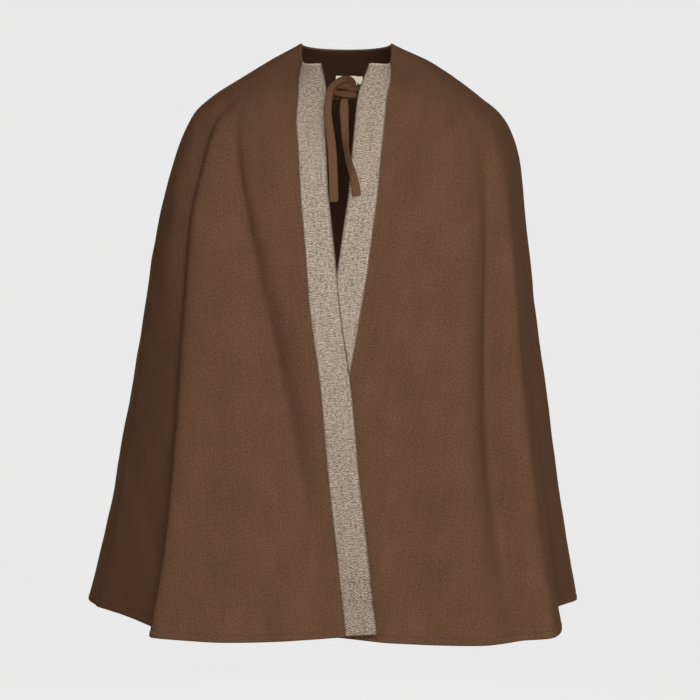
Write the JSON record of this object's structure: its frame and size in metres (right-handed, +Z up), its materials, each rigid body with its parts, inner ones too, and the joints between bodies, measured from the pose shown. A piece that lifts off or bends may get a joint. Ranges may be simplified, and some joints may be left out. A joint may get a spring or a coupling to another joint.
{
  "type": "wool cape",
  "caption": "Hip-length wool cape held in its worn shape, laid over at the front with a trim band on each edge and a narrow strap tied in a knot at the neck.",
  "frame": {"origin": "middle of the neck, level with where the cape rests on the wearer's neck and shoulders", "axes": "+Z up; -Y is the front of the cape; +X is the wearer's left"},
  "size_m": [0.6969, 0.4649, 0.8137],
  "materials": {
    "wool": "brushed wool coating",
    "trim": "fine twill",
    "tie_wool": "plain wool",
    "label_white": "smooth woven"
  },
  "bodies": {
    "root": {"front_right": "wool", "front_left": "wool", "back": "wool", "band_right": "trim", "band_left": "trim", "tie_right": "tie_wool", "tie_left": "tie_wool", "neck_label": "label_white", "size_tab": "label_white"}
  },
  "joints": []
}
